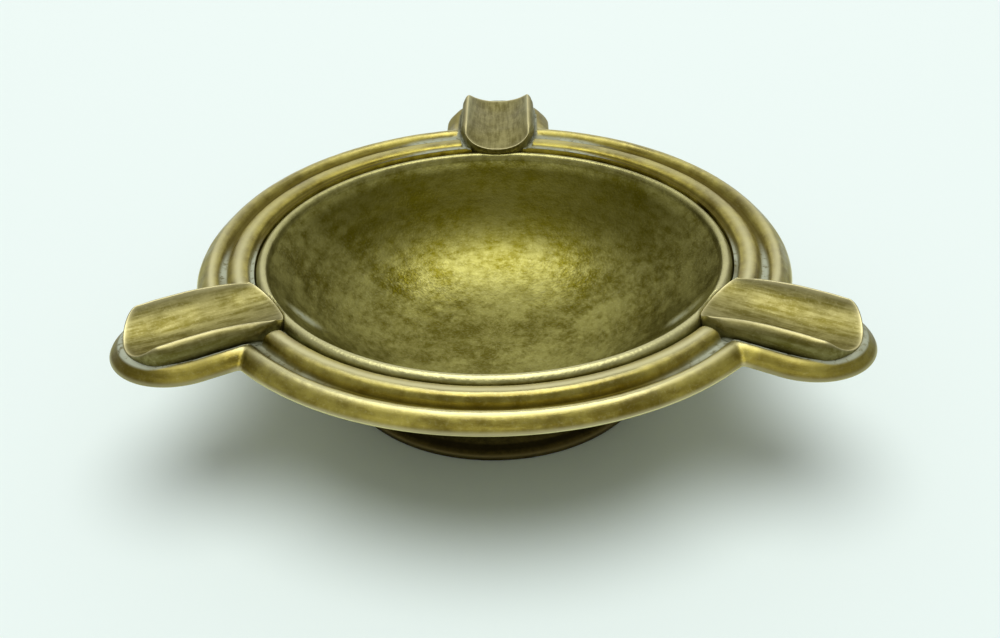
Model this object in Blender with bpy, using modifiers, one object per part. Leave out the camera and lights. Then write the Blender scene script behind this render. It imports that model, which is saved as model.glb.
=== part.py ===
"""Three-rest brass incense burner: a turned bowl on a foot, a beaded rim with three lugs,
and a troughed rest on each lug.

Frame: metres, +Z up, origin at the centre of the foot's flat underside, on the bowl's axis.
One rest lies along +Y (rest_back), the others 120 degrees round on either side of it.
"""

import bmesh
import bpy
from math import asin, atan2, cos, pi, radians, sin, sqrt
from mathutils import Matrix, Vector

MM = 0.001
FIT_GAP = 0.3 * MM                  # clearance between pieces that touch
TURNED_STEPS = 80                   # facets round a turned piece

# Foot and bowl
FOOT_RADIUS = 39.5 * MM
FOOT_TOP_RADIUS = 36.5 * MM
FOOT_PLINTH = 1.6 * MM              # height of the square edge that the foot stands on
FOOT_WAIST_INSET = 1.8 * MM         # how far the foot's side draws in above its edge
FOOT_SEAT_GAP = 1.6 * FIT_GAP       # drop that keeps FIT_GAP square to the bowl's sloping underside
SEAT_RADIUS = 30.0 * MM             # flat land under the bowl, sunk into the foot
SEAT_HEIGHT = 4.8 * MM
BOWL_MOUTH_RADIUS = 54.1 * MM
BOWL_MOUTH_HEIGHT = 33.1 * MM
BOWL_FLOOR_HEIGHT = 7.0 * MM
BOWL_CURVE = 3.2                    # power of the inside curve: higher is flatter, then steeper
OUTER_CURVE = 3.4
OUTER_TOP_RADIUS = 57.5 * MM
OUTER_TOP_HEIGHT = 28.4 * MM
LIP_RADIUS = 56.9 * MM
LIP_BEAD = [(54.4 * MM, 34.1 * MM), (55.0 * MM, 34.6 * MM), (55.8 * MM, 34.5 * MM),
            (56.5 * MM, 33.9 * MM), (LIP_RADIUS, 33.0 * MM)]
FLANGE_RADIUS = 62.0 * MM
FLANGE_TOP = 30.6 * MM

# Beaded rim
RIM_RADIUS = 70.3 * MM
RIM_BOTTOM = FLANGE_TOP + FIT_GAP
RIM_TOP = 34.9 * MM
RIM_ROUNDING = 1.5 * MM
RIM_HOLE_RADIUS = LIP_RADIUS + FIT_GAP
OUTER_BEAD_WIDTH = 5.75 * MM        # outermost bead, which also runs round the lugs
GROOVE_HEIGHT = 34.2 * MM
BEAD_BOTTOM = 32.0 * MM             # the middle bead is let into the rim down to here
MIDDLE_BEAD = [(58.0 * MM, 34.0 * MM), (58.4 * MM, 35.1 * MM), (59.2 * MM, 35.5 * MM),
               (60.4 * MM, 35.6 * MM), (61.6 * MM, 35.4 * MM), (62.6 * MM, 34.8 * MM),
               (63.3 * MM, 33.9 * MM)]

# Lugs
REST_AZIMUTHS = {"rest_back": 90, "rest_left": 210, "rest_right": 330}
LUG_HALF_WIDTH = 15.1 * MM
LUG_TIP_RADIUS = 91.3 * MM
LUG_CORNER_FILLET = 1.8 * MM

# Rests
REST_INNER_END = 54.3 * MM
REST_OUTER_END = 88.2 * MM
REST_HALF_WIDTH = 9.8 * MM
REST_INNER_BOW = 3.0 * MM           # how far each end bows out past its corners
REST_OUTER_BOW = 5.4 * MM
REST_TOP = 38.9 * MM
TROUGH_RADIUS = 10.3 * MM
TROUGH_FLOOR = 34.3 * MM
POCKET_FLOOR = 33.5 * MM
POCKET_CUT_TOP = 45.0 * MM
REST_BOTTOM = POCKET_FLOOR + FIT_GAP
TENON_RADIUS = 2.5 * MM
TENON_PLACES = (70.0 * MM, 81.0 * MM)
TENON_HEAD_RADIUS = 3.4 * MM
TENON_HEAD_HEIGHT = 1.0 * MM

for stale in list(bpy.data.objects):
    bpy.data.objects.remove(stale)


def new_collection(name):
    collection = bpy.data.collections.new(name)
    bpy.context.scene.collection.children.link(collection)
    return collection


PARTS = new_collection("incense_burner")
CUTTERS = new_collection("cutters")


def brass(name, colour, roughness):
    """A Principled material in one shade of aged brass."""
    material = bpy.data.materials.new(name)
    material.use_nodes = True
    shader = material.node_tree.nodes["Principled BSDF"]
    shader.inputs["Base Color"].default_value = (*colour, 1.0)
    shader.inputs["Roughness"].default_value = roughness
    shader.inputs["Metallic"].default_value = 1.0
    return material


def new_object(name, data, collection):
    obj = bpy.data.objects.new(name, data)
    collection.objects.link(obj)
    return obj


def as_mesh(obj):
    """Swap a curve, or a mesh with modifiers, for the plain closed mesh it evaluates to."""
    bpy.context.view_layer.update()
    evaluated = obj.evaluated_get(bpy.context.evaluated_depsgraph_get())
    mesh = bpy.data.meshes.new_from_object(evaluated)
    name, place, collection = obj.name, obj.matrix_world.copy(), obj.users_collection[0]
    bpy.data.objects.remove(obj)
    plain = new_object(name, mesh, collection)
    plain.matrix_world = place
    weld(mesh)
    return plain


def weld(mesh):
    """Join a mesh's loose caps and point its faces outwards."""
    shape = bmesh.new()
    shape.from_mesh(mesh)
    bmesh.ops.remove_doubles(shape, verts=shape.verts, dist=1e-7)
    bmesh.ops.recalc_face_normals(shape, faces=shape.faces)
    shape.to_mesh(mesh)
    shape.free()


def turned(name, profile, collection):
    """Turn (radius, height) points, given down the outer side, about the Z axis."""
    mesh = bpy.data.meshes.new(name)
    edges = [(i, i + 1) for i in range(len(profile) - 1)]
    if profile[0][0] > 0:
        edges.append((len(profile) - 1, 0))
    mesh.from_pydata([(r, 0.0, z) for r, z in profile], edges, [])
    obj = new_object(name, mesh, collection)
    screw = obj.modifiers.new("Turn", "SCREW")
    screw.axis = "Z"
    screw.steps = TURNED_STEPS
    screw.render_steps = TURNED_STEPS
    screw.use_merge_vertices = True
    screw.merge_threshold = 1e-6
    return obj


def slab(name, outline, bottom, top, collection):
    """Extrude a closed plan outline between two heights."""
    curve = bpy.data.curves.new(name, "CURVE")
    curve.dimensions = "2D"
    curve.fill_mode = "BOTH"
    curve.extrude = (top - bottom) / 2
    spline = curve.splines.new("POLY")
    spline.points.add(len(outline) - 1)
    for point, (x, y) in zip(spline.points, outline):
        point.co = (x, y, 0.0, 1.0)
    spline.use_cyclic_u = True
    obj = new_object(name, curve, collection)
    obj.location.z = (top + bottom) / 2
    return as_mesh(obj)


def boolean(target, tool, operation):
    """Combine target with tool. The tool stays in the cutters' collection, unseen."""
    tool.hide_render = True
    tool.display_type = "WIRE"
    modifier = target.modifiers.new(tool.name, "BOOLEAN")
    modifier.operation = operation
    modifier.solver = "EXACT"
    modifier.object = tool


def finish(obj, material):
    """Give a finished part its material and smooth shading that keeps the sharp edges."""
    obj.data.materials.clear()
    obj.data.materials.append(material)
    obj.data.shade_smooth()
    obj.data.set_sharp_from_angle(angle=radians(35))


def arc(centre, radius, start, end, steps):
    """Points on an arc between two angles, both ends included."""
    return [(centre[0] + radius * cos(start + (end - start) * i / steps),
             centre[1] + radius * sin(start + (end - start) * i / steps))
            for i in range(steps + 1)]


def turn_plan(points, azimuth):
    """Carry plan points drawn along +X round to an azimuth in degrees."""
    c, s = cos(radians(azimuth)), sin(radians(azimuth))
    return [(x * c - y * s, x * s + y * c) for x, y in points]


def lugged_outline(inset):
    """Rim circle with three round-ended lugs and filleted inner corners, drawn in by inset."""
    circle = RIM_RADIUS - inset
    half_width = LUG_HALF_WIDTH - inset
    fillet = LUG_CORNER_FILLET + inset
    end_centre = LUG_TIP_RADIUS - LUG_HALF_WIDTH
    fillet_y = half_width + fillet
    fillet_x = sqrt((circle + fillet) ** 2 - fillet_y ** 2)
    fillet_turn = atan2(fillet_y, fillet_x)
    lug = arc((fillet_x, -fillet_y), fillet, pi - fillet_turn, pi / 2, 6)
    lug += arc((end_centre, 0.0), half_width, -pi / 2, pi / 2, 24)
    lug += arc((fillet_x, fillet_y), fillet, -pi / 2, -pi + fillet_turn, 6)
    outline = []
    for azimuth in sorted(REST_AZIMUTHS.values()):
        start = radians(azimuth) + fillet_turn
        end = radians(azimuth + 120) - fillet_turn
        outline += turn_plan(lug, azimuth)
        outline += arc((0.0, 0.0), circle, start, end, 24)[1:-1]
    return outline


def rest_outline(grow):
    """Plan of a rest along +X: straight sides and shallow bowed ends, grown on every side."""
    half_width = REST_HALF_WIDTH + grow
    outline = []
    for end, bow, facing in ((REST_OUTER_END + grow, REST_OUTER_BOW, 0.0),
                             (REST_INNER_END - grow, REST_INNER_BOW, pi)):
        radius = (half_width ** 2 + bow ** 2) / (2 * bow)
        spread = asin(half_width / radius)
        centre = (end - radius * cos(facing), 0.0)
        outline += arc(centre, radius, facing - spread, facing + spread, 14)
    return outline


def inside_height(radius):
    """Height of the bowl's inside surface at a radius."""
    rise = BOWL_MOUTH_HEIGHT - BOWL_FLOOR_HEIGHT
    return BOWL_FLOOR_HEIGHT + rise * (radius / BOWL_MOUTH_RADIUS) ** BOWL_CURVE


def outside_height(radius):
    """Height of the bowl's outside surface at a radius."""
    return SEAT_HEIGHT + (OUTER_TOP_HEIGHT - SEAT_HEIGHT) * (radius / OUTER_TOP_RADIUS) ** OUTER_CURVE


def spaced(start, end, steps):
    return [start + (end - start) * i / steps for i in range(steps + 1)]


def pocket(name, azimuth):
    """Cutter for the flat that a rest stands on, FIT_GAP clear of the rest all round."""
    outline = turn_plan(rest_outline(FIT_GAP), azimuth)
    return slab(name + "_pocket", outline, POCKET_FLOOR, POCKET_CUT_TOP, CUTTERS)


def make_bowl(material):
    """Basin with a beaded lip, notched under each rest, and a flange that the rim sits on."""
    profile = [(r, inside_height(r)) for r in spaced(0.0, BOWL_MOUTH_RADIUS, 14)]
    profile += LIP_BEAD
    profile += [(LIP_RADIUS, FLANGE_TOP), (FLANGE_RADIUS, FLANGE_TOP),
                (FLANGE_RADIUS, FLANGE_TOP - 1.0 * MM)]
    profile += [(r, outside_height(r)) for r in spaced(OUTER_TOP_RADIUS, SEAT_RADIUS, 12)]
    profile += [(SEAT_RADIUS, SEAT_HEIGHT), (0.0, SEAT_HEIGHT)]
    bowl = turned("bowl", profile, PARTS)
    for name, azimuth in REST_AZIMUTHS.items():
        boolean(bowl, pocket("bowl_" + name, azimuth), "DIFFERENCE")
    finish(as_mesh(bowl), material)


def make_foot(material):
    """Turned foot with a shallow seat for the bowl and a waisted side."""
    seat = SEAT_RADIUS + FIT_GAP
    top_radii = spaced(seat, FOOT_TOP_RADIUS, 3)
    profile = [(0.0, SEAT_HEIGHT - FIT_GAP), (seat, SEAT_HEIGHT - FIT_GAP)]
    profile += [(r, outside_height(r) - FOOT_SEAT_GAP) for r in top_radii]
    rim_height = outside_height(FOOT_TOP_RADIUS) - FOOT_SEAT_GAP
    waist = FOOT_RADIUS - FOOT_WAIST_INSET
    profile += [(FOOT_TOP_RADIUS + 0.9 * MM, rim_height - 0.3 * MM),
                (waist, rim_height - 1.5 * MM),
                (waist, FOOT_PLINTH + 2.2 * MM),
                (waist + 0.5 * MM, FOOT_PLINTH + 0.9 * MM),
                (FOOT_RADIUS, FOOT_PLINTH),
                (FOOT_RADIUS, 0.0), (0.0, 0.0)]
    finish(turned("foot", profile, PARTS), material)


def middle_bead():
    """Turned bead between the bowl's lip and the outermost bead's groove."""
    sides = [(MIDDLE_BEAD[-1][0], BEAD_BOTTOM), (MIDDLE_BEAD[0][0], BEAD_BOTTOM)]
    return turned("middle_bead", MIDDLE_BEAD + sides, CUTTERS)


def disc_outline(radius):
    return arc((0.0, 0.0), radius, 0.0, 2 * pi, TURNED_STEPS)[:-1]


def make_rim(material):
    """Lugged plate, channelled inside its outermost bead, with the middle bead on it."""
    rim = slab("rim_ring", lugged_outline(0.0), RIM_BOTTOM, RIM_TOP, PARTS)
    rounding = rim.modifiers.new("Round", "BEVEL")
    rounding.width = RIM_ROUNDING
    rounding.segments = 3
    rounding.limit_method = "ANGLE"
    rounding.angle_limit = radians(50)
    rim = as_mesh(rim)
    channel = slab("channel", lugged_outline(OUTER_BEAD_WIDTH), GROOVE_HEIGHT, 40 * MM, CUTTERS)
    hole = slab("rim_hole", disc_outline(RIM_HOLE_RADIUS), 20 * MM, 50 * MM, CUTTERS)
    boolean(rim, channel, "DIFFERENCE")
    boolean(rim, middle_bead(), "UNION")
    boolean(rim, hole, "DIFFERENCE")
    for name, azimuth in REST_AZIMUTHS.items():
        boolean(rim, pocket("rim_" + name, azimuth), "DIFFERENCE")
        for index, place in enumerate(TENON_PLACES):
            centre = turn_plan([(place, 0.0)], azimuth)[0]
            bore = slab(f"{name}_bore_{index}", arc(centre, TENON_RADIUS + FIT_GAP, 0.0, 2 * pi, 24)[:-1],
                        20 * MM, 45 * MM, CUTTERS)
            boolean(rim, bore, "DIFFERENCE")
    finish(as_mesh(rim), material)


def tenon(name, centre):
    """Round peg that goes down through the lug and is spread into a low head beneath it."""
    shoulder = RIM_BOTTOM - FIT_GAP
    head = [(TENON_HEAD_RADIUS * cos(a), shoulder - TENON_HEAD_HEIGHT * sin(a))
            for a in spaced(0.0, pi / 2, 4)]
    profile = [(0.0, REST_BOTTOM + 0.4 * MM), (TENON_RADIUS, REST_BOTTOM + 0.4 * MM),
               (TENON_RADIUS, shoulder)] + head[:-1] + [(0.0, head[-1][1])]
    obj = turned(name, profile, CUTTERS)
    obj.modifiers["Turn"].steps = 24
    obj.modifiers["Turn"].render_steps = 24
    obj.location = (centre[0], centre[1], 0.0)
    return obj


def make_rest(name, azimuth, material):
    """Saddle with a half-round trough along it, held by two tenons through its lug."""
    rest = slab(name, turn_plan(rest_outline(0.0), azimuth), REST_BOTTOM, REST_TOP, PARTS)
    bpy.ops.mesh.primitive_cylinder_add(vertices=72, radius=TROUGH_RADIUS, depth=60 * MM)
    trough = bpy.context.object
    trough.name = name + "_trough"
    for collection in list(trough.users_collection):
        collection.objects.unlink(trough)
    CUTTERS.objects.link(trough)
    middle = (REST_INNER_END + REST_OUTER_END) / 2
    trough.matrix_world = (Matrix.Rotation(radians(azimuth), 4, "Z")
                           @ Matrix.Translation(Vector((middle, 0.0, TROUGH_FLOOR + TROUGH_RADIUS)))
                           @ Matrix.Rotation(pi / 2, 4, "Y"))
    boolean(rest, trough, "DIFFERENCE")
    for index, place in enumerate(TENON_PLACES):
        centre = turn_plan([(place, 0.0)], azimuth)[0]
        boolean(rest, tenon(f"{name}_tenon_{index}", centre), "UNION")
    finish(as_mesh(rest), material)


make_foot(brass("foot_brass", (0.16, 0.12, 0.04), 0.5))
make_bowl(brass("bowl_brass", (0.34, 0.28, 0.09), 0.42))
make_rim(brass("rim_brass", (0.46, 0.39, 0.14), 0.38))
for rest_name, rest_azimuth in REST_AZIMUTHS.items():
    make_rest(rest_name, rest_azimuth, brass(rest_name + "_brass", (0.50, 0.43, 0.19), 0.4))
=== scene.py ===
"""Looks of a three-rest brass incense burner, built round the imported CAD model.

Every visible piece is a fine mesh that stands for its CAD node: a turned bowl and foot, a beaded
rim whose outermost bead runs round three lugs, and a troughed rest on each lug. Lengths inside
the mesh code are in millimetres and are read from the frame where the frame has them.
"""

from math import atan2, cos, pi, radians, sin, sqrt

import bmesh
import bpy
import numpy as np
from mathutils import Matrix, Vector


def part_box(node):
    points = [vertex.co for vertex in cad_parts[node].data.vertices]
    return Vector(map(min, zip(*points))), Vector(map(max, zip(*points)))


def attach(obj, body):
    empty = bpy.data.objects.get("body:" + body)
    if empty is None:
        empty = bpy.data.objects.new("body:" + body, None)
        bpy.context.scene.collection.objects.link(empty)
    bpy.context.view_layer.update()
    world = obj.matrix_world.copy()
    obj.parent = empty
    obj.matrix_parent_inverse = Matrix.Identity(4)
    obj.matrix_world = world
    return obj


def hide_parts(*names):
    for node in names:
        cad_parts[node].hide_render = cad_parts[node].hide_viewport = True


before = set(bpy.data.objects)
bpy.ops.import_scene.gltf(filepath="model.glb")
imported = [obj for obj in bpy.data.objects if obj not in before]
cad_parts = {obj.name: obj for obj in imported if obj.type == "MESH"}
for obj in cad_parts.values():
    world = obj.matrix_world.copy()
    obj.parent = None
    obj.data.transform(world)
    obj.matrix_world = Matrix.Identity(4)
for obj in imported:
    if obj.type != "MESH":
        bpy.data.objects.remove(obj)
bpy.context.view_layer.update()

MM = 0.001


def box_mm(node):
    """Lowest and highest corner of a CAD node, in millimetres."""
    low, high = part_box(node)
    return [c / MM for c in low], [c / MM for c in high]


rim_low, rim_high = box_mm("rim_ring")
bowl_low, bowl_high = box_mm("bowl")
foot_high = box_mm("foot")[1]
rest_low, rest_high = box_mm("rest_back")

# Rim and lugs
RIM_RADIUS = -rim_low[1]
RIM_BOTTOM = rim_low[2]
RIM_HOLE = 57.0
REST_AZIMUTHS = {"rest_back": 90.0, "rest_left": 210.0, "rest_right": 330.0}
LUG_TIP = rim_high[1]
LUG_HALF_WIDTH = 15.1
LUG_CENTRE = LUG_TIP - LUG_HALF_WIDTH
LUG_FILLET = 1.0
FILLET_FINENESS = 6                 # a fillet is cut this much finer than the rest of the outline
RAY_SPACING = 0.42
MITRE_BLEND = 0.9                   # softens the crease where a lug's bead meets the rim's
EDGE_HEIGHT = 32.2                  # lower edge of the outermost bead
GROOVE_HEIGHT = 34.2                # floor round a rest's foot
POCKET_FLOOR = 33.2                 # the rim is cut down to this under each rest
BELOW_GROOVES = 30.0                # where one bead's curve hides under its neighbours
BEAD_WIDTH = 5.2                    # outermost bead, in from the outline
BEADS_START = 64.0                  # from here inwards the rim follows circles only
OUTER_BEAD = [(0.0, EDGE_HEIGHT), (0.15, 32.5), (1.2, 33.65), (2.2, 34.65), (2.8, 35.05),
              (3.5, 35.25), (4.3, 35.1), (5.0, 34.6), (5.6, 33.95), (6.1, 33.7), (40.0, 33.7)]
MIDDLE_BEAD = [(57.6, 32.6), (57.85, 34.2), (58.2, 34.9), (58.8, 35.25), (59.9, 35.5),
               (60.9, 35.6), (61.7, 35.4), (62.3, 35.0), (62.8, 34.3), (63.2, 33.4), (63.6, 32.6),
               (64.4, BELOW_GROOVES)]
MIDDLE_OUTER = 63.7
MIDDLE_INNER = 57.9
MIDDLE_CREST = 60.3
MIDDLE_TILT = 0.95                  # the middle bead stands this much higher at the front
BEAD_END_GAP = 1.5                  # clear floor between a rest's foot and the middle bead's end
BEAD_END_LENGTH = 2.2               # how far the middle bead's rounded end runs
FRONT_FLATTENING = 0.0155           # share by which the outline is drawn in at the very front

# Bowl and foot
BOWL_FLOOR = 7.0
BOWL_CURVE = 3.2                    # power of the inside curve: higher is flatter, then steeper
SEAT_HEIGHT = bowl_low[2]
OUTER_TOP_RADIUS = 57.5             # where the underside meets the flange
OUTER_TOP_RISE = 23.6
OUTER_CURVE = 3.4
FLANGE_RADIUS = bowl_high[0]
LIP_CREST = 34.5
LIP_TILT = 1.5                      # the bowl's lip stands this much higher at the front
LIP_OUTSIDE = RIM_HOLE - 0.08
MOUTH_RADIUS = 53.9
MOUTH_HEIGHT = LIP_CREST - 1.5
LIP_BEAD = [(-0.05, 1.3), (0.02, 1.0), (0.14, 0.62), (0.34, 0.3), (0.62, 0.1), (1.0, 0.0),
            (1.4, 0.04), (1.8, 0.22), (2.2, 0.55), (2.55, 1.0), (2.82, 1.6)]
NOTCH_FLOOR = 32.2                  # the bowl's lip is cut down to this under each rest
STAIN_AZIMUTHS = (199.0, 341.0)     # pale stains down the wall beside the two front rests
STAIN_RADIUS = 47.0
FOOT_RADIUS = foot_high[0]
FOOT_TOP = foot_high[2]
FOOT_WAIST = FOOT_RADIUS - 1.8
FOOT_SEAT = 30.3                    # radius of the seat the bowl stands in
FOOT_GAP = 0.3                      # the foot stays this far below the bowl's underside

# Rests
REST_INNER = rest_low[1]
REST_OUTER = rest_high[1]
TROUGH_START = REST_INNER + 0.2     # ends of a trough, on its centre line
TROUGH_END = REST_OUTER - 0.6
TROUGH_RADIUS = 10.3
TROUGH_FLOOR = 34.3
EDGE_HALF_WIDTH = 8.75              # bright edge where the trough meets the rest's shoulder
INNER_HALF_WIDTH = EDGE_HALF_WIDTH + 0.2    # and the same at the inner end, which flares
INNER_BOW = 4.4                     # how far each end bows out past its corners
OUTER_BOW = 5.4
INNER_POWER = 2.2                   # squareness of each bow: 2 is an ellipse
OUTER_POWER = 1.9
INNER_CORNER = TROUGH_START + INNER_BOW
OUTER_CORNER = TROUGH_END - OUTER_BOW
FOOT_HALF_WIDTH = 9.7               # half width of a rest where it meets the lug
FOOT_NARROWING = 1.4                # and how much less that is, each side, at the inner end
FOOT_NARROWED = (63.5, 57.0)        # where the narrowing starts and ends
FOOT_OUTER = TROUGH_END - 0.1
FOOT_BOW = OUTER_BOW + 0.8
FOOT_CORNER_BLEND = 3.0             # rounds the corners of a rest's foot at its outer end
SEAM_SETBACK = 8.0                  # how far short of each end the trough's centre seam stops
CHIN_DEPTH = 2.0                    # how far the inner end reaches down over the bowl's lip

# How far a rest's lips and its trough's floor stand above their plain heights, along the rest.
LIP_SAG = [(54.5, -2.0), (58, -1.8), (62, -1.0), (67, -0.25), (72, 0.15), (78, 0.2), (81.5, 0.1),
           (84, 0.1), (87.6, 0.35)]
FLOOR_SAG = [(54.5, -0.1), (62, 0.0), (79, 0.1), (87.6, 0.7)]

# Down a rest's outside: how far out at the sides, at the inner end and at the outer end, and what
# share of the way down from the bright edge to the foot.
WALL_STATIONS = [
    (0.15, 0.03, 0.08, 0.000), (0.45, 0.06, 0.18, 0.015), (0.90, 0.08, 0.26, 0.06),
    (1.35, 0.07, 0.30, 0.15), (1.70, 0.03, 0.30, 0.28), (1.85, -0.08, 0.25, 0.44),
    (1.80, -0.20, 0.16, 0.60), (1.60, -0.34, 0.06, 0.74), (1.30, -0.46, 0.00, 0.85),
    (1.06, -0.53, 0.00, 0.92), (1.06, -0.56, 0.10, 0.96), (1.25, -0.58, 0.30, 0.985),
    (1.55, -0.60, 0.50, 1.0)]

FAR = 99.0                          # a plan distance beyond any that matters
WELD_DISTANCE = 0.0001              # points closer than this become one


# ---------------------------------------------------------------- noise and mesh helpers

# Large odd factors and shifts that scramble a lattice cell's whole numbers, in 32-bit words.
CELL_FACTORS = (374761393, 668265263, 2246822519)
SEED_FACTOR = 3266489917
MIXING_STEPS = ((13, 1274126177), (16, 2654435761))
LAST_SHIFT = 15
WORD = 2**32


def hashed(cells, seed):
    """A repeatable number from 0 to 1 for each lattice cell."""
    mixed = np.full(cells.shape[:-1], seed * SEED_FACTOR % WORD, np.uint32)
    for k, factor in enumerate(CELL_FACTORS):
        mixed = mixed + cells[..., k].astype(np.int64).astype(np.uint32) * np.uint32(factor)
    for shift, factor in MIXING_STEPS:
        mixed = (mixed ^ (mixed >> np.uint32(shift))) * np.uint32(factor)
    return (mixed ^ (mixed >> np.uint32(LAST_SHIFT))).astype(np.float64) / WORD


def value_noise(points, size, seed):
    """Smooth noise from -1 to 1 whose bumps are about size millimetres across."""
    scaled = np.asarray(points, float) / size
    base = np.floor(scaled)
    part = scaled - base
    part = part * part * (3 - 2 * part)
    total = np.zeros(scaled.shape[:-1])
    for corner in np.ndindex(2, 2, 2):
        weight = np.ones(scaled.shape[:-1])
        for k in range(3):
            weight = weight * (part[..., k] if corner[k] else 1 - part[..., k])
        total += weight * hashed(base + np.array(corner), seed)
    return 2 * total - 1


def layered_noise(points, size, seed, layers=3):
    """Sum of noises, each half the size and half the height of the one before."""
    total = np.zeros(np.asarray(points).shape[:-1])
    for k in range(layers):
        total += value_noise(points, size / 2**k, seed + 17 * k) / 2**k
    return total / (2 - 0.5 ** (layers - 1))


def smooth_max(a, b, k):
    """Maximum of a and b with the corner between them filled to a radius of about k."""
    blend = np.clip(0.5 + 0.5 * (a - b) / k, 0, 1)
    return b + (a - b) * blend + k * blend * (1 - blend)


def smooth_min(a, b, k):
    """Minimum of a and b, blended in the same way."""
    return -smooth_max(-a, -b, k)


def bump(value, centre, width):
    """1 at the centre, fading to nothing about two widths away."""
    return np.exp(-((value - centre) / width) ** 2)


def step(value, start, end):
    """0 before start, 1 after end, smooth between."""
    t = np.clip((value - start) / (end - start), 0, 1)
    return t * t * (3 - 2 * t)


def through(value, knots):
    """Smooth curve through (place, height) knots, with flat tops at its peaks and dips."""
    x = np.array([k[0] for k in knots], float)
    y = np.array([k[1] for k in knots], float)
    gap = np.diff(x)
    slope = np.diff(y) / gap
    tangent = np.zeros(len(x))
    for i in range(1, len(x) - 1):
        if slope[i - 1] * slope[i] > 0:
            w1, w2 = 2 * gap[i] + gap[i - 1], gap[i] + 2 * gap[i - 1]
            tangent[i] = (w1 + w2) / (w1 / slope[i - 1] + w2 / slope[i])
    tangent[0], tangent[-1] = slope[0], slope[-1]
    at = np.clip(value, x[0], x[-1])
    i = np.clip(np.searchsorted(x, at, side="right") - 1, 0, len(x) - 2)
    h = gap[i]
    t = (at - x[i]) / h
    return ((2 * t**3 - 3 * t**2 + 1) * y[i] + (t**3 - 2 * t**2 + t) * h * tangent[i]
            + (3 * t**2 - 2 * t**3) * y[i + 1] + (t**3 - t**2) * h * tangent[i + 1])


def grid_piece(name, points, masks, wrap_rows=False):
    """A smooth mesh from closed rings of points in millimetres, with named point masks."""
    rows, columns = points.shape[:2]
    index = np.arange(rows * columns).reshape(rows, columns)
    if wrap_rows:
        index = np.vstack([index, index[:1]])
    index = np.hstack([index, index[:, :1]])
    quads = np.stack([index[:-1, :-1], index[1:, :-1], index[1:, 1:], index[:-1, 1:]], -1)
    return face_piece(name, points.reshape(-1, 3), quads.reshape(-1, 4),
                      {key: value.reshape(rows * columns, -1) for key, value in masks.items()})


def face_piece(name, vertices, faces, masks):
    """A smooth closed mesh from vertices in millimetres and an array of faces of one size."""
    mesh = bpy.data.meshes.new(name)
    corners = faces.shape[1]
    mesh.vertices.add(len(vertices))
    mesh.vertices.foreach_set("co", (vertices * MM).ravel())
    mesh.loops.add(faces.size)
    mesh.loops.foreach_set("vertex_index", faces.ravel().astype(np.int32))
    mesh.polygons.add(len(faces))
    mesh.polygons.foreach_set("loop_start", np.arange(0, faces.size, corners, dtype=np.int32))
    for key, value in masks.items():
        kind = "FLOAT" if value.shape[1] == 1 else "FLOAT_VECTOR"
        field = "value" if value.shape[1] == 1 else "vector"
        layer = mesh.attributes.new(key, kind, "POINT")
        layer.data.foreach_set(field, value.astype(np.float32).ravel())
    mesh.update(calc_edges=True)
    shape = bmesh.new()
    shape.from_mesh(mesh)
    bmesh.ops.remove_doubles(shape, verts=shape.verts, dist=WELD_DISTANCE * MM)
    bmesh.ops.recalc_face_normals(shape, faces=shape.faces)
    shape.to_mesh(mesh)
    shape.free()
    mesh.shade_smooth()
    piece = bpy.data.objects.new(name, mesh)
    bpy.context.scene.collection.objects.link(piece)
    return piece


def place(piece, node, material):
    """Let a piece ride on the part's one body, in the stead of its CAD node."""
    piece.data.materials.append(material)
    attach(piece, "root")
    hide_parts(node)


# ---------------------------------------------------------------- plan distances

def lug_local(x, y, azimuth):
    """Coordinates along a lug's centre line and across it."""
    c, s = cos(radians(azimuth)), sin(radians(azimuth))
    return x * c + y * s, y * c - x * s


def fillet_centre():
    """Centre of the fillet between a lug along +X and the rim, on the lug's left."""
    y = LUG_HALF_WIDTH + LUG_FILLET
    return sqrt((RIM_RADIUS + LUG_FILLET) ** 2 - y * y), y


def depth_in_outline(x, y):
    """How far a plan point lies inside the lugged outline, mitred where lug and circle meet."""
    depth = RIM_RADIUS - np.hypot(x, y)
    for azimuth in REST_AZIMUTHS.values():
        along, across = lug_local(x, y, azimuth)
        lug = LUG_HALF_WIDTH - np.hypot(np.clip(along - LUG_CENTRE, 0, None), across)
        depth = smooth_max(depth, np.where(along > 0, lug, -FAR), MITRE_BLEND)
    return depth


def rest_end(fraction, bow, power):
    """How far a rest's bowed end stands past its corners, at a fraction of its half width."""
    return bow * (1 - np.clip(np.abs(fraction), 0, 1) ** power) ** (1 / power)


def outside_rest(along, across):
    """Distance outside a rest's foot on the lug: negative under the rest."""
    side = np.abs(across) - FOOT_HALF_WIDTH + FOOT_NARROWING * step(along, *FOOT_NARROWED)
    radius = (FOOT_HALF_WIDTH**2 + FOOT_BOW**2) / (2 * FOOT_BOW)
    outer = np.hypot(along - FOOT_OUTER + radius, across) - radius
    outer = np.where(along > FOOT_OUTER - radius, outer, -FAR)
    inner = INNER_CORNER - rest_end(across / INNER_HALF_WIDTH, INNER_BOW, INNER_POWER) - along
    return smooth_max(smooth_max(side, outer, FOOT_CORNER_BLEND), inner, 1.0)


def nearest_rest(x, y):
    """Distance outside whichever rest's foot is nearest."""
    gap = np.full(np.shape(x), FAR)
    for azimuth in REST_AZIMUTHS.values():
        along, across = lug_local(x, y, azimuth)
        gap = np.minimum(gap, np.where(along > 0, outside_rest(along, across), FAR))
    return gap


# ---------------------------------------------------------------- beaded rim

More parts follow.
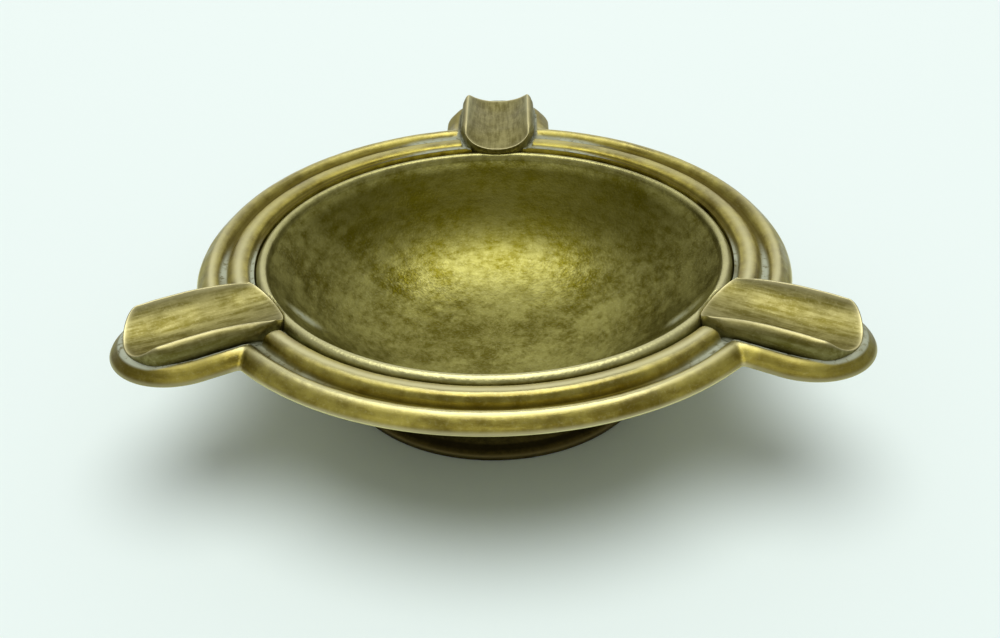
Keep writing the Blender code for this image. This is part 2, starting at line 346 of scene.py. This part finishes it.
def rim_height(points, radius, depth, rest_gap, bead_gap):
    """Height of the rim's upper surface: outermost bead, middle bead and the rests' pockets."""
    end_rise = np.sqrt(np.clip(1 - (1 - np.clip(-bead_gap / BEAD_END_LENGTH, 0, 1)) ** 2, 0, 1))
    rounded = np.where(bead_gap < 0, GROOVE_HEIGHT - 0.4 + 3.5 * end_rise, BELOW_GROOVES)
    level = through(radius, MIDDLE_BEAD) - MIDDLE_TILT * points[..., 1] / MIDDLE_OUTER
    middle = smooth_min(rounded, level, 0.12)
    outer = through(depth, OUTER_BEAD) - 0.35 * bump(rest_gap, 0.2, 0.9)
    height = smooth_max(outer, middle, 0.18)
    height = height + 0.05 * layered_noise(points, 6.0, 11, 2) + 0.02 * value_noise(points, 1.3, 12)
    return height + (POCKET_FLOOR - height) * step(-rest_gap, 0.2, 1.0)


def rim_top(x, y):
    """Height of the rim's upper surface, and its darkening, verdigris, wear-and-highlight and streak
    masks.
    """
    points = np.stack([x, y, np.zeros_like(x)], -1)
    radius = np.hypot(x, y) + 0.10 * layered_noise(points, 34.0, 3)
    depth = depth_in_outline(x, y) + 0.08 * layered_noise(points, 21.0, 5)
    rest_gap = nearest_rest(x, y)
    bead_gap = smooth_max(smooth_max(radius - MIDDLE_OUTER, MIDDLE_INNER - radius, 0.1),
                          BEAD_END_GAP - rest_gap, 1.6)
    height = rim_height(points, radius, depth, rest_gap, bead_gap)

    # Grooves are darkened everywhere and hold verdigris mostly near the rests.
    outer_groove = bump(radius, MIDDLE_OUTER + 0.3, 1.1) * (depth > 3)
    on_middle = (radius > MIDDLE_INNER) * (radius < BEADS_START)
    bead_edge = bump(BEAD_END_GAP - rest_gap, 0.25, 0.7) * on_middle
    inner_groove = bump(radius, RIM_HOLE + 0.3, 0.9)
    foot_cove = np.maximum(bump(rest_gap, 1.15, 0.75), 0.6 * bump(rest_gap, 0.2, 0.6))
    grime_and_shade = np.maximum.reduce([outer_groove * 0.9, bead_edge * 0.8, inner_groove * 0.9, foot_cove])
    near_rest = step(-rest_gap, -30.0, -8.0)
    verdigris = np.maximum(grime_and_shade * (0.25 + 0.75 * near_rest), foot_cove)
    lug_tarnish = 0.46 * step(radius, 69.5, 73) * (rest_gap > 0)

    # Crests and the lower edge are lightened, as wear and as painted highlight; the painted highlight is
    # stronger towards the front.
    middle_crest = bump(radius, MIDDLE_CREST, 1.1) * (bead_gap < -0.5)
    lower_edge = bump(depth, 0.1, 0.25)
    outer_crest = bump(depth, 3.6, 1.0) * (1 - 0.6 * step(radius, 67, 71))
    wear_and_highlight = np.maximum.reduce([middle_crest, lower_edge, outer_crest]) * (0.45 + 0.55 * step(-y, -30, 20))
    local = np.stack([10 * x / radius, 10 * y / radius, depth], -1) * MM
    return height, {"grime_and_shade": np.maximum(grime_and_shade, lug_tarnish), "verdigris": verdigris, "wear_and_highlight": wear_and_highlight,
                    "local": local}


def arc_ray(centre, radius, angle, facing):
    """A point on an arc, and its direction out from the arc's centre (facing 1) or in (-1)."""
    c, s = cos(angle), sin(angle)
    return centre[0] + radius * c, centre[1] + radius * s, facing * c, facing * s


def rim_rays(spacing):
    """Outline points with inward directions, and where each one's line meets the inner circle."""
    fx, fy = fillet_centre()
    turn = atan2(fy, fx)
    corner = pi / 2 - turn
    side = LUG_CENTRE - fx
    # One lug's outline, span by span: length, fineness, and the ray at a share of the way along.
    lug_spans = [
        (LUG_FILLET * corner, FILLET_FINENESS,
         lambda t: arc_ray((fx, -fy), LUG_FILLET, pi - turn - corner * t, 1)),
        (side, 1, lambda t: (fx + side * t, -LUG_HALF_WIDTH, 0.0, 1.0)),
        (pi * LUG_HALF_WIDTH, 1,
         lambda t: arc_ray((LUG_CENTRE, 0.0), LUG_HALF_WIDTH, pi * t - pi / 2, -1)),
        (side, 1, lambda t: (LUG_CENTRE - side * t, LUG_HALF_WIDTH, 0.0, -1.0)),
        (LUG_FILLET * corner, FILLET_FINENESS,
         lambda t: arc_ray((fx, fy), LUG_FILLET, -pi / 2 - corner * t, 1))]
    lug_length = sum(length for length, _, _ in lug_spans)
    plain = 2 * pi / 3 - 2 * turn
    rays = []

    def add(ray, angle, azimuth):
        c, s = cos(azimuth), sin(azimuth)
        px, py, nx, ny = ray
        rays.append((px * c - py * s, px * s + py * c, nx * c - ny * s, nx * s + ny * c,
                     angle + azimuth))

    def shares(length):
        count = max(2, round(length / spacing))
        return [(i + 0.5) / count for i in range(count)]

    for base in sorted(REST_AZIMUTHS.values()):
        walked = 0.0
        for length, fineness, ray_at in lug_spans:
            for t in shares(length * fineness):
                add(ray_at(t), -turn + 2 * turn * (walked + length * t) / lug_length, radians(base))
            walked += length
        for t in shares(plain * RIM_RADIUS):
            angle = turn + plain * t
            add(arc_ray((0.0, 0.0), RIM_RADIUS, angle, -1), angle, radians(base))
    table = np.array(rays)
    return table[:, :2], table[:, 2:4], table[:, 4]


def ray_points(rays, depths, middles, radii):
    """Plan points down each ray: in from the outline, across to the beads, in along a radius."""
    points, inward, angles = rays
    out = np.stack([np.cos(angles), np.sin(angles)], -1)
    rows = [points + inward * d for d in depths]
    start, end = points + inward * depths[-1], out * radii[0]
    rows += [start + (end - start) * t for t in middles]
    rows += [out * r for r in radii]
    return np.array(rows)


def make_rim():
    """The beaded rim: its top, the wall of its hole, and its underside, closed into a ring."""
    rays = rim_rays(RAY_SPACING)
    depths = BEAD_WIDTH * np.linspace(0, 1, 26) ** 1.35
    plan = ray_points(rays, depths, np.linspace(0, 1, 14)[1:-1], np.linspace(BEADS_START, RIM_HOLE, 46))
    height, masks = rim_top(plan[..., 0], plan[..., 1])
    top = np.concatenate([plan, height[..., None]], -1)
    wall = [np.column_stack([plan[-1], height[-1] + (RIM_BOTTOM + 0.4 - height[-1]) * t])
            for t in (0.1, 0.35, 0.7, 1.0)]

    under_depths = np.array([0.03, 0.3, 0.8, 1.5, 2.3, 3.2, BEAD_WIDTH])
    under_radii = np.array([BEADS_START, 61.5, 59.5, 58.0, 57.3])
    below = ray_points(rays, under_depths, np.linspace(0, 1, 8)[1:-1], under_radii)[::-1]
    edge_rise = EDGE_HEIGHT - 0.1 - RIM_BOTTOM
    slope_rise = [max(0.0, edge_rise - 0.5 * depth) for depth in under_depths[::-1]]
    under_rise = [0.0] * (len(below) - len(slope_rise)) + slope_rise
    under = [np.concatenate([row, np.full((len(row), 1), RIM_BOTTOM + rise)], -1)
             for row, rise in zip(below, under_rise)]

    points = np.concatenate([top, np.array(wall), np.array(under)])
    radius = np.hypot(points[..., 0], points[..., 1])
    flat = np.clip(-points[..., 1] / radius, 0, 1) ** 4 * step(radius, 61, 67)
    points[..., :2] *= 1 - FRONT_FLATTENING * flat[..., None]
    hidden_rows = len(points) - len(top)
    for key, mask in masks.items():
        masks[key] = np.concatenate([mask, np.zeros((hidden_rows, *mask.shape[1:]))])
    return grid_piece("beaded_rim", points, masks, wrap_rows=True)


# ---------------------------------------------------------------- bowl and foot

def turned_grid(profile, columns):
    """Points of a profile turned about the axis, one row for each profile point."""
    angles = np.linspace(0, 2 * pi, columns, endpoint=False)
    radius = np.array([p[0] for p in profile])[:, None]
    height = np.array([p[1] for p in profile])[:, None]
    return np.stack([radius * np.cos(angles), radius * np.sin(angles), height + 0 * angles], -1)


def inside_height(radius):
    """Height of the bowl's inside surface at a radius."""
    return BOWL_FLOOR + (MOUTH_HEIGHT - BOWL_FLOOR) * (radius / MOUTH_RADIUS) ** BOWL_CURVE


def outside_height(radius):
    """Height of the bowl's outside surface at a radius."""
    return SEAT_HEIGHT + OUTER_TOP_RISE * (radius / OUTER_TOP_RADIUS) ** OUTER_CURVE


def cast_relief(points, radius):
    """Low waves, grain and faint turned ridges of the bowl's cast inside."""
    relief = 0.10 * layered_noise(points, 16.0, 31) + 0.035 * value_noise(points, 2.6, 33)
    ridge = np.sin(radius * 1.9 + 2.2 * layered_noise(points, 30.0, 37))
    return relief + 0.03 * ridge * step(layered_noise(points, 22.0, 39), -0.1, 0.4)


def make_bowl():
    """The bowl: cast inside, beaded lip notched under the rests, flange and plain underside."""
    radii = np.concatenate([np.linspace(0, 40, 90), np.linspace(40.3, MOUTH_RADIUS - 0.25, 60)])
    basin = [(r, inside_height(r)) for r in radii]
    lip = [(MOUTH_RADIUS + across, LIP_CREST - fall) for across, fall in LIP_BEAD]
    below = [(LIP_OUTSIDE, 31.2), (LIP_OUTSIDE, RIM_BOTTOM - 0.1),
             (59.0, RIM_BOTTOM - 0.1), (FLANGE_RADIUS - 0.4, RIM_BOTTOM - 0.1),
             (FLANGE_RADIUS, RIM_BOTTOM - 0.5), (FLANGE_RADIUS, RIM_BOTTOM - 1.1),
             (FLANGE_RADIUS - 0.4, RIM_BOTTOM - 1.5), (FLANGE_RADIUS - 2.4, RIM_BOTTOM - 2.0)]
    below += [(r, outside_height(r)) for r in np.linspace(OUTER_TOP_RADIUS, 32.0, 44)]
    below += [(30.0, SEAT_HEIGHT + 0.3), (29.6, SEAT_HEIGHT), (15.0, SEAT_HEIGHT), (0.0, SEAT_HEIGHT)]
    points = turned_grid(basin + lip + below, 600)
    x, y, z = points[..., 0], points[..., 1], points[..., 2]
    radius = np.hypot(x, y)
    row = np.arange(len(points))[:, None] + 0 * radius
    inside = (row < len(basin)).astype(float)
    on_lip = (row >= len(basin)) & (row < len(basin) + len(lip))

    z += cast_relief(points, radius) * inside * step(radius, 0.5, 6.0)
    z -= LIP_TILT * y / MOUTH_RADIUS * step(radius, 46, 54.5) * (row < len(basin) + len(lip))
    notched = (row <= len(basin) + len(lip)) & (z > NOTCH_FLOOR)
    z += (NOTCH_FLOOR - z) * step(-nearest_rest(x, y), -0.4, 0.2) * notched

    # Painted shade and reflection: the bowl's inside wall is darkened, most on its back half and less
    # near the mouth.
    back_wall_shade = inside * step(radius, 20, 48) * (0.02 + 0.74 * step(y, -12, 42))
    back_wall_shade = back_wall_shade * (1 - 0.5 * step(radius, 51.5, 53.5))
    # The dark ring where the lip meets the rim's hole, joined with that painted shade.
    grime_and_shade = np.maximum(bump(radius, RIM_HOLE, 0.5) * (z > 32.5), back_wall_shade)
    stain = np.zeros(radius.shape)
    for azimuth in STAIN_AZIMUTHS:
        along, across = lug_local(x, y, azimuth)
        stain = np.maximum(stain, bump(across, 0, 3.2) * bump(along, STAIN_RADIUS, 5.5))
    # Lip crest lightened as wear and as painted highlight, more so at the front.
    wear_and_highlight = on_lip * bump(radius, MOUTH_RADIUS + 1.2, 1.1) * (0.6 + 0.4 * step(-y, -20, 30))
    local = np.stack([14 * x / (radius + 1), 14 * y / (radius + 1), radius], -1) * MM
    return grid_piece("turned_bowl", points, {"grime_and_shade": grime_and_shade, "verdigris": 0.6 * stain * inside,
                                              "wear_and_highlight": wear_and_highlight, "local": local})


def make_foot():
    """The turned foot: a seat for the bowl, a waisted side and a plinth."""
    profile = [(0.0, SEAT_HEIGHT - FOOT_GAP), (FOOT_SEAT - 0.4, SEAT_HEIGHT - FOOT_GAP),
               (FOOT_SEAT, SEAT_HEIGHT)]
    profile += [(r, outside_height(r) - FOOT_GAP) for r in np.linspace(FOOT_SEAT + 0.4, 36.4, 12)]
    profile += [(36.8, FOOT_TOP - 0.05), (37.3, FOOT_TOP - 0.3), (FOOT_WAIST, FOOT_TOP - 0.9),
                (FOOT_WAIST, FOOT_TOP - 2.0)]
    profile += [(FOOT_WAIST - 0.15 * sin(pi * t), FOOT_TOP - 2.0 - (FOOT_TOP - 6.0) * t)
                for t in np.linspace(0.1, 1, 8)]
    profile += [(FOOT_WAIST + 0.15, 3.1), (FOOT_WAIST + 0.6, 2.4), (FOOT_WAIST + 1.2, 1.9),
                (FOOT_RADIUS - 0.2, 1.6), (FOOT_RADIUS, 1.35), (FOOT_RADIUS, 0.4),
                (FOOT_RADIUS - 0.15, 0.12), (FOOT_RADIUS - 0.5, 0.0), (20.0, 0.0), (0.0, 0.0)]
    points = turned_grid(profile, 480)
    height = points[..., 2]
    radius = np.hypot(points[..., 0], points[..., 1])
    outside = (height > 0.2) * step(radius, 34, 36)
    for axis in (0, 1):
        points[..., axis] *= 1 + 0.0012 * outside * layered_noise(points, 14.0, 51)
    grime_and_shade = bump(height, 2.9, 0.8) * (radius > 34)
    wear_and_highlight = bump(height, 1.3, 0.4) * (radius > FOOT_RADIUS - 0.6)
    return grid_piece("turned_foot", points, {"grime_and_shade": grime_and_shade, "verdigris": 0.2 * grime_and_shade,
                                              "wear_and_highlight": wear_and_highlight, "local": points * MM})


# ---------------------------------------------------------------- rests

def rest_border(half_count):
    """Evenly spaced points round a rest's bright edge, as (along, across), mirror-exact."""
    fraction = np.sin(np.linspace(0, pi / 2, 300))
    outer = np.stack([OUTER_CORNER + rest_end(fraction, OUTER_BOW, OUTER_POWER),
                      EDGE_HALF_WIDTH * fraction], -1)
    inner = np.stack([INNER_CORNER - rest_end(fraction, INNER_BOW, INNER_POWER),
                      INNER_HALF_WIDTH * fraction], -1)
    flare = np.array([[INNER_CORNER + 5.0, EDGE_HALF_WIDTH],
                      [INNER_CORNER + 2.5, EDGE_HALF_WIDTH + 0.15]])
    half = np.concatenate([outer, flare, inner[::-1]])
    walked = np.concatenate([[0], np.cumsum(np.linalg.norm(np.diff(half, axis=0), axis=1))])
    even = np.linspace(0, walked[-1], half_count + 1)
    half = np.stack([np.interp(even, walked, half[:, 0]), np.interp(even, walked, half[:, 1])], -1)
    return np.concatenate([half, half[-2:0:-1] * [1, -1]])


def trough_rings(border, seam):
    """Rings of points over the trough, from its centre seam out to its bright edge."""
    share = (1 - np.linspace(0, 1, 46) ** 1.4)[::-1]
    plan = seam + (border - seam) * share[:, None, None]
    along, across = plan[..., 0], plan[..., 1]
    chord = np.clip(across, -EDGE_HALF_WIDTH, EDGE_HALF_WIDTH)
    height = TROUGH_FLOOR + TROUGH_RADIUS - np.sqrt(TROUGH_RADIUS**2 - chord**2)
    at_lip = (across / EDGE_HALF_WIDTH) ** 2
    height = height + through(along, LIP_SAG) * at_lip + through(along, FLOOR_SAG) * (1 - at_lip)
    return np.concatenate([plan, height[..., None]], -1)


def outward_of(loop, seam):
    """Unit plan directions square to a closed loop, pointing away from the seam inside it."""
    tangent = (np.roll(loop, -1, 0) - np.roll(loop, 1, 0))[:, :2]
    tangent /= np.linalg.norm(tangent, axis=1)[:, None]
    outward = np.stack([tangent[:, 1], -tangent[:, 0]], -1)
    if ((loop[:, :2] - seam) * outward).sum() < 0:
        outward = -outward
    return outward


def wall_rings(loop, seam, at_inner):
    """Rings down a rest's shoulder and wall to its flared foot."""
    at_outer = step(loop[:, 0], OUTER_CORNER - 3.0, TROUGH_END)
    at_side = (1 - at_inner) * (1 - at_outer)
    foot_height = GROOVE_HEIGHT - 0.35 - CHIN_DEPTH * at_inner
    outward = outward_of(loop, seam)
    rings = []
    for side, inner, outer, fall in WALL_STATIONS:
        reach = side * at_side + inner * at_inner + outer * at_outer
        z = loop[:, 2] + (foot_height - loop[:, 2]) * fall
        rings.append(np.column_stack([loop[:, :2] + outward * reach[:, None], z]))
    return rings


def make_rest(name, azimuth, seed):
    """A troughed rest: rings over the trough, then shoulder, wall and flared foot round it."""
    border = rest_border(190)
    seam = np.stack([np.clip(border[:, 0], REST_INNER + SEAM_SETBACK, TROUGH_END - SEAM_SETBACK),
                     0 * border[:, 0]], -1)
    top = trough_rings(border, seam)
    loop = top[-1]
    at_inner = step(loop[:, 0], INNER_CORNER + 4.5, INNER_CORNER - 1.0)
    walls = wall_rings(loop, seam, at_inner)
    sunk = walls[-1] - [0, 0, 0.5]
    flat = np.column_stack([seam, np.full(len(border), GROOVE_HEIGHT - 1.2)])
    points = np.concatenate([top, walls, [sunk, flat]])

    row = np.arange(len(points))[:, None] - (len(top) - 1) + 0 * points[..., 0]
    edge_depth = np.linalg.norm(points[..., :2] - loop[None, :, :2], axis=-1)
    # Painted highlight and wear: the bright edge and the shoulder below it are lightened, fading down
    # the wall.
    wear_and_highlight = np.where(row <= 0, np.exp(-edge_depth / 0.3),
                    np.interp(row, [0, 1, 2, 3, 4], [1, 0.9, 0.5, 0.15, 0]))
    # Painted shade down the rest's wall, darkest at the foot, where grime and verdigris also gather;
    # less at the inner end.
    grime_and_shade = np.interp(row, [0, 1, 3, 8, 10, 12, 14], [0, 0.12, 0.4, 0.45, 0.65, 1.0, 1.0])
    grime_and_shade = grime_and_shade * (1 - 0.8 * at_inner)

    own = 100 * seed                    # an offset that gives each rest noise of its own
    wobble = 0.06 * layered_noise(points + own, 9.0, 61)
    wobble += 0.02 * value_noise(points * [0.25, 1, 1] + own, 1.2, 63)
    local = points + [own, 0, 0]
    local_x, local_y = points[..., 0].copy(), points[..., 1].copy()
    points[..., 2] += wobble * np.where(row <= 0, 1, np.clip(1 - row / 10, 0, 1))
    c, s = cos(radians(azimuth)), sin(radians(azimuth))
    points[..., 0] = local_x * c - local_y * s
    points[..., 1] = local_x * s + local_y * c
    return grid_piece(name, points, {"grime_and_shade": grime_and_shade, "verdigris": grime_and_shade - 0.3, "wear_and_highlight": wear_and_highlight,
                                     "local": local * MM})


# ---------------------------------------------------------------- materials

VERDIGRIS = (0.40, 0.43, 0.31)
FLOOR_COLOUR = (0.80, 0.90, 0.865, 1.0)


class Nodes:
    """Short calls for building a node tree."""

    def __init__(self, name):
        self.material = bpy.data.materials.new(name)
        self.material.use_nodes = True
        self.tree = self.material.node_tree
        self.shader = self.tree.nodes["Principled BSDF"]

    def new(self, kind, **settings):
        """Add a node with the given settings."""
        node = self.tree.nodes.new(kind)
        for key, value in settings.items():
            setattr(node, key, value)
        return node

    def link(self, source, target):
        """Join an output to an input."""
        self.tree.links.new(source, target)

    def mask(self, name, field="Fac"):
        """Read one of the mesh's named point masks."""
        return self.new("ShaderNodeAttribute", attribute_name=name).outputs[field]

    def position(self, scale=(1, 1, 1), source=None):
        """A place to sample noise at: the object's own coordinates or a given source, scaled."""
        if source is None:
            source = self.new("ShaderNodeTexCoord").outputs["Object"]
        mapping = self.new("ShaderNodeMapping")
        mapping.inputs["Scale"].default_value = scale
        self.link(source, mapping.inputs["Vector"])
        return mapping.outputs["Vector"]

    def noise(self, vector, size_mm, detail=3.0, roughness=0.55, distortion=0.0):
        """Cloudy noise whose bumps are about size_mm across."""
        node = self.new("ShaderNodeTexNoise")
        node.inputs["Scale"].default_value = 1 / (size_mm * MM)
        node.inputs["Detail"].default_value = detail
        node.inputs["Roughness"].default_value = roughness
        node.inputs["Distortion"].default_value = distortion
        self.link(vector, node.inputs["Vector"])
        return node.outputs["Fac"]

    def remap(self, value, low, high, to_low=0.0, to_high=1.0):
        """Carry a value smoothly from one range to another."""
        node = self.new("ShaderNodeMapRange", interpolation_type="SMOOTHSTEP")
        for socket, number in zip(("From Min", "From Max", "To Min", "To Max"),
                                  (low, high, to_low, to_high)):
            node.inputs[socket].default_value = number
        self.link(value, node.inputs["Value"])
        return node.outputs["Result"]

    def maths(self, operation, a, b):
        """One sum on two numbers or outputs."""
        node = self.new("ShaderNodeMath", operation=operation)
        for socket, value in zip(node.inputs, (a, b)):
            if isinstance(value, (int, float)):
                socket.default_value = value
            else:
                self.link(value, socket)
        return node.outputs[0]

    def mix(self, factor, a, b, kind="RGBA"):
        """Blend two colours or two numbers by a factor."""
        node = self.new("ShaderNodeMix", data_type=kind)
        picks = {"RGBA": (6, 7, 2), "FLOAT": (2, 3, 0)}[kind]
        for socket, value in ((0, factor), (picks[0], a), (picks[1], b)):
            target = node.inputs[socket]
            if isinstance(value, (int, float)):
                target.default_value = value
            elif isinstance(value, tuple):
                target.default_value = (*value, 1.0)
            else:
                self.link(value, target)
        return node.outputs[picks[2]]

    def bump(self, height, distance_mm, strength=1.0, below=None):
        """Surface relief from a height, laid over an earlier relief if there is one."""
        node = self.new("ShaderNodeBump")
        node.inputs["Distance"].default_value = distance_mm * MM
        node.inputs["Strength"].default_value = strength
        self.link(height, node.inputs["Height"])
        if below is not None:
            self.link(below, node.inputs["Normal"])
        return node.outputs["Normal"]


def aged_brass(name, bright, mid, dark, rough=(0.28, 0.5), grain_mm=0.35, grain_height=0.02,
               speckle=0.15, streaks=(1, 1, 1), streak_height=0.02, streak_share=0.3):
    """Aged brass: mottled patina, edges lightened as wear and painted highlight, grooves and walls
    darkened as grime and painted shade, and chalky verdigris in the grooves.
    """
    n = Nodes(name)
    here = n.position()
    broad = n.noise(here, 14.0, 4.0)
    blotch = n.noise(here, 3.2, 4.0, 0.6, 0.4)
    fine = n.noise(here, 0.6, 3.0)
    along = n.position(streaks, n.mask("local", "Vector"))
    streak = n.noise(along, 1.1, 4.0, 0.6)
    tone = n.maths("ADD", n.maths("MULTIPLY", broad, 0.7 - streak_share),
                   n.maths("MULTIPLY", blotch, 0.3))
    tone = n.remap(n.maths("ADD", tone, n.maths("MULTIPLY", streak, streak_share)), 0.38, 0.62)
    colour = n.mix(tone, dark, mid)
    colour = n.mix(n.remap(fine, 0.5, 0.8, 0.0, speckle), colour, bright)
    # Lightened towards the bright colour by wear and by painted highlight.
    wear_and_highlight = n.mask("wear_and_highlight")
    colour = n.mix(n.maths("MULTIPLY", wear_and_highlight, 0.85), colour, bright)
    # Darkened by grime in the grooves and by painted shade on the rests' walls and the bowl's back wall.
    grime_and_shade = n.mask("grime_and_shade")
    grime_and_shade_amount = n.remap(grime_and_shade, 0.15, 0.8, 0.0, 0.85)
    colour = n.mix(grime_and_shade_amount, colour, tuple(0.45 * c for c in dark))
    chalk_noise = n.remap(n.noise(here, 1.3, 5.0, 0.6), 0.24, 0.50)
    patch = n.remap(n.noise(here, 18.0, 2.0), 0.35, 0.55, 0.35, 1.0)
    chalk = n.maths("MULTIPLY", n.remap(n.mask("verdigris"), 0.2, 0.75), chalk_noise)
    chalk = n.maths("MULTIPLY", chalk, patch)
    colour = n.mix(chalk, colour, VERDIGRIS)
    n.link(colour, n.shader.inputs["Base Color"])
    metal = n.maths("SUBTRACT", 1.0, n.maths("MULTIPLY", chalk, 0.9))
    n.link(metal, n.shader.inputs["Metallic"])
    roughness = n.remap(broad, 0.35, 0.65, rough[0], rough[1])
    roughness = n.mix(n.maths("MULTIPLY", wear_and_highlight, 0.6), roughness, rough[0] + 0.06, "FLOAT")
    roughness = n.mix(n.maths("MAXIMUM", chalk, n.maths("MULTIPLY", grime_and_shade_amount, 0.7)), roughness, 0.75,
                      "FLOAT")
    n.link(roughness, n.shader.inputs["Roughness"])
    normal = n.bump(n.noise(here, 5.0, 3.0), 0.12, 0.5)
    normal = n.bump(n.noise(along, 0.5, 3.0), streak_height, 0.6, normal)
    normal = n.bump(n.noise(here, grain_mm, 2.0), grain_height, 1.0, normal)
    n.link(normal, n.shader.inputs["Normal"])
    return n.material


# ---------------------------------------------------------------- stage, light and camera

def make_stage():
    """A pale round floor under the object."""
    floor_mesh = bpy.data.meshes.new("floor")
    shape = bmesh.new()
    bmesh.ops.create_circle(shape, cap_ends=True, segments=96, radius=4.0)
    shape.to_mesh(floor_mesh)
    shape.free()
    floor = bpy.data.objects.new("floor", floor_mesh)
    bpy.context.scene.collection.objects.link(floor)
    n = Nodes("pale_floor")
    n.shader.inputs["Base Color"].default_value = FLOOR_COLOUR
    n.shader.inputs["Roughness"].default_value = 0.6
    n.shader.inputs["Specular IOR Level"].default_value = 0.2
    floor_mesh.materials.append(n.material)


def sun(name, azimuth, elevation, spread, power):
    """A distant soft light. Azimuth 0 is behind the object and 90 to its left."""
    data = bpy.data.lights.new(name, "SUN")
    data.angle = radians(spread)
    data.energy = power
    light = bpy.data.objects.new(name, data)
    a, e = radians(azimuth), radians(elevation)
    towards = Vector((-sin(a) * cos(e), cos(a) * cos(e), sin(e)))
    light.location = towards
    light.rotation_euler = towards.to_track_quat("Z", "Y").to_euler()
    bpy.context.scene.collection.objects.link(light)


def panel(name, location, size, brightness):
    """A glowing panel that faces the object. Brightness is what a mirror would show of it."""
    data = bpy.data.lights.new(name, "AREA")
    data.shape = "RECTANGLE"
    data.size, data.size_y = size
    data.energy = brightness * pi * size[0] * size[1]
    light = bpy.data.objects.new(name, data)
    light.location = location
    light.rotation_euler = Vector(location).to_track_quat("Z", "Y").to_euler()
    bpy.context.scene.collection.objects.link(light)


def make_lights():
    """Even white surroundings, a broad soft light overhead and a dim panel behind the object."""
    world = bpy.data.worlds.new("studio")
    world.use_nodes = True
    background = world.node_tree.nodes["Background"]
    background.inputs["Color"].default_value = (1.0, 1.0, 1.0, 1.0)
    background.inputs["Strength"].default_value = 0.40
    bpy.context.scene.world = world
    sun("overhead", 6, 88, 58, 2.0)
    panel("backdrop", (0.0, 2.2, 0.72), (3.2, 1.4), 0.55)


def make_camera():
    """Camera in front of the dish and above it, with its slight roll."""
    distance, pitch, azimuth, roll = 0.27097, radians(33.66), radians(1.4), radians(1.30)
    aim = Vector((0.00109, 0.0, 0.01267))
    aim.rotate(Matrix.Rotation(azimuth, 3, "Z"))
    back = Vector((sin(azimuth) * cos(pitch), -cos(azimuth) * cos(pitch), sin(pitch)))
    data = bpy.data.cameras.new("camera")
    data.lens = 38.68
    data.sensor_width = 36.0
    data.clip_start = 0.01
    camera = bpy.data.objects.new("camera", data)
    camera.location = aim + back * distance
    turn = (-back).to_track_quat("-Z", "Y").to_matrix() @ Matrix.Rotation(-roll, 3, "Z")
    camera.rotation_euler = turn.to_euler()
    bpy.context.scene.collection.objects.link(camera)
    bpy.context.scene.camera = camera


bpy.context.scene.view_settings.view_transform = "Standard"

bowl_brass = aged_brass("bowl_brass", (0.72, 0.69, 0.36), (0.385, 0.365, 0.105), (0.15, 0.132, 0.006),
                        rough=(0.33, 0.45), grain_mm=0.7, grain_height=0.08, speckle=0.22)
rim_brass = aged_brass("rim_brass", (0.79, 0.75, 0.40), (0.43, 0.37, 0.075), (0.20, 0.155, 0.018))
rest_brass = aged_brass("rest_brass", (0.80, 0.74, 0.40), (0.33, 0.300, 0.110), (0.16, 0.138, 0.026),
                        rough=(0.40, 0.56), streaks=(0.12, 1.0, 1.0), streak_height=0.04,
                        streak_share=0.55)
# The foot's colours are kept far darker than the other brass: painted shade for its place under the
# bowl.
foot_brass = aged_brass("foot_brass", (0.20, 0.16, 0.06), (0.10, 0.075, 0.02), (0.04, 0.03, 0.008),
                        rough=(0.45, 0.6))

place(make_rim(), "rim_ring", rim_brass)
place(make_bowl(), "bowl", bowl_brass)
place(make_foot(), "foot", foot_brass)
for count, (rest_name, rest_azimuth) in enumerate(REST_AZIMUTHS.items()):
    saddle = make_rest(rest_name.replace("rest", "saddle"), rest_azimuth, count + 1)
    place(saddle, rest_name, rest_brass)

make_stage()
make_lights()
make_camera()
